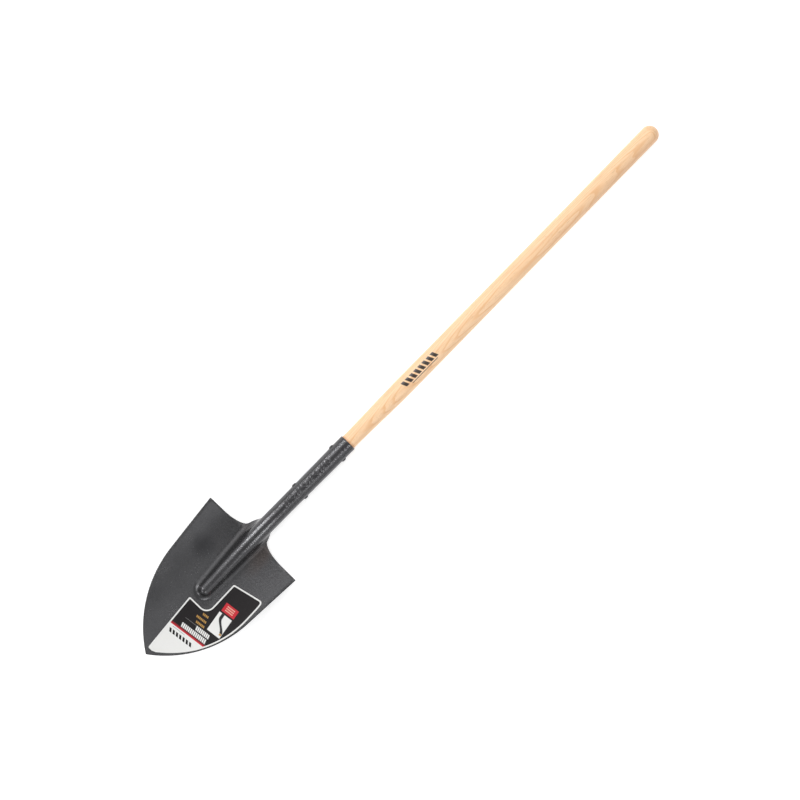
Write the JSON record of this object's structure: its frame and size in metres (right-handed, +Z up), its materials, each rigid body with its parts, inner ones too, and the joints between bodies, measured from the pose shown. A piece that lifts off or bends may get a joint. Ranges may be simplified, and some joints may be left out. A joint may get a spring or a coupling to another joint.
{
  "type": "round point shovel",
  "caption": "Long-handled round point shovel: dished pointed steel blade with a central frog ridge, open-seam socket and straight wooden handle with a round grip end.",
  "frame": {"origin": "centre of the bounding box on the floor, with the shovel lying on its back on its heel and the end of its grip", "axes": "+X from the point of the blade towards the grip, +Z up, out of the front of the blade; +Y across the blade"},
  "size_m": [1.4282, 0.235, 0.1176],
  "materials": {
    "painted_steel": "satin grey coating with a fine orange-peel grain",
    "rivet_steel": "dark grey, slightly glossier than the socket",
    "ash": "pale ash, turned and sanded, clear coat",
    "label_film": "printed film with a smooth gloss"
  },
  "bodies": {
    "root": {"shovel_head": "painted_steel", "handle": "ash", "rivet_upper": "rivet_steel", "rivet_lower": "rivet_steel", "label": "label_film"}
  },
  "joints": []
}
